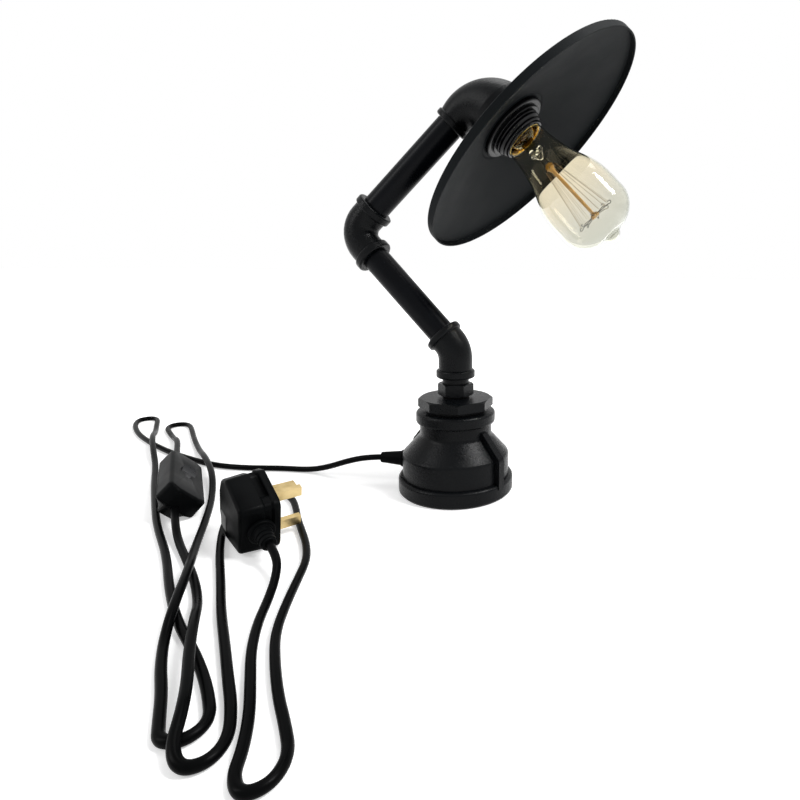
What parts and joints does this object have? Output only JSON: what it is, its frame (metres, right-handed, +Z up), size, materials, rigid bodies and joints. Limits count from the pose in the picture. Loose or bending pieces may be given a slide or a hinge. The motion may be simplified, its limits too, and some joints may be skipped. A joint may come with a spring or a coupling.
{
  "type": "table lamp",
  "caption": "Pipe-fitting table lamp: reducing-socket base, two leaning pipe arms joined by elbows, dished shade, screw-in filament bulb, corded rocker switch and three-pin plug.",
  "frame": {"origin": "centre of the base's underside, on the table", "axes": "+Z up; the lower arm leans towards -X and the head hangs towards +X; the flex lies on the table towards -X and -Y"},
  "size_m": [0.5388, 0.3861, 0.3361],
  "materials": {
    "cast_fitting": "satin",
    "pipe": "satin",
    "sheet": "matte",
    "felt": "matte",
    "rubber": "satin",
    "bakelite": "satin",
    "brass": "satin",
    "steel": "satin",
    "glass": "gloss",
    "insulator": "gloss",
    "moulding": "satin"
  },
  "bodies": {
    "base": {"felt_pad": "felt", "base_plate": "cast_fitting", "base_reducer": "cast_fitting", "cord_gland": "rubber", "octagon_bushing": "cast_fitting", "hex_nipple": "cast_fitting", "earth_tag": "steel", "earth_screw": "steel", "base_flex": "rubber", "cord_to_switch": "rubber", "cord_to_plug": "rubber", "switch_lower": "moulding", "switch_upper": "moulding", "switch_contacts": "brass", "switch_screws": "steel", "plug_body": "moulding", "plug_relief": "rubber", "earth_pin": "brass", "line_pin": "brass", "neutral_pin": "brass"},
    "lower_arm": {"lower_elbow": "cast_fitting", "lower_pipe": "pipe", "lower_flex": "rubber"},
    "upper_arm": {"mid_elbow": "cast_fitting", "upper_pipe": "pipe", "upper_flex": "rubber"},
    "head": {"head_elbow": "cast_fitting", "head_flex": "rubber", "shade": "sheet", "shade_ring": "sheet", "holder_skirt": "bakelite", "holder_cap": "bakelite", "holder_core": "bakelite", "holder_terminals": "brass", "screw_shell": "brass", "contact_spring": "brass"},
    "bulb": {"bulb_glass": "glass", "bulb_cap": "brass", "bulb_insulator": "insulator", "bulb_contact": "brass", "bulb_stem": "glass", "bulb_filament": "steel", "bulb_supports": "steel"},
    "rocker": {"switch_rocker": "moulding"},
    "fuse_holder": {"fuse_carrier": "moulding", "fuse": "steel"}
  },
  "joints": [
    {"name": "base_swivel", "type": "hinge", "parent": "base", "child": "lower_arm", "pos_m": [0, 0, 0.09], "axis": [0, 0, 1], "range_deg": [-90, 90]},
    {"name": "arm_swivel", "type": "hinge", "parent": "lower_arm", "child": "upper_arm", "pos_m": [-0.08867, 0, 0.20307], "axis": [-0.7071, 0, 0.7071], "range_deg": [-90, 90]},
    {"name": "head_swivel", "type": "hinge", "parent": "upper_arm", "child": "head", "pos_m": [0.01381, 0.01677, 0.30555], "axis": [0.7024, 0.1149, 0.7024], "range_deg": [-90, 90]},
    {"name": "bulb_unscrew", "type": "slide", "parent": "head", "child": "bulb", "axis": [0.7038, 0.0347, -0.7095], "range_m": [0, 0.03]},
    {"name": "rocker_press", "type": "hinge", "parent": "base", "child": "rocker", "pos_m": [-0.18218, -0.09045, 0.01768], "axis": [0.4639, 0.5337, -0.7071], "range_deg": [0, 16]},
    {"name": "fuse_pull", "type": "slide", "parent": "base", "child": "fuse_holder", "axis": [0.5, 0.866, 0], "range_m": [0, 0.02]}
  ]
}
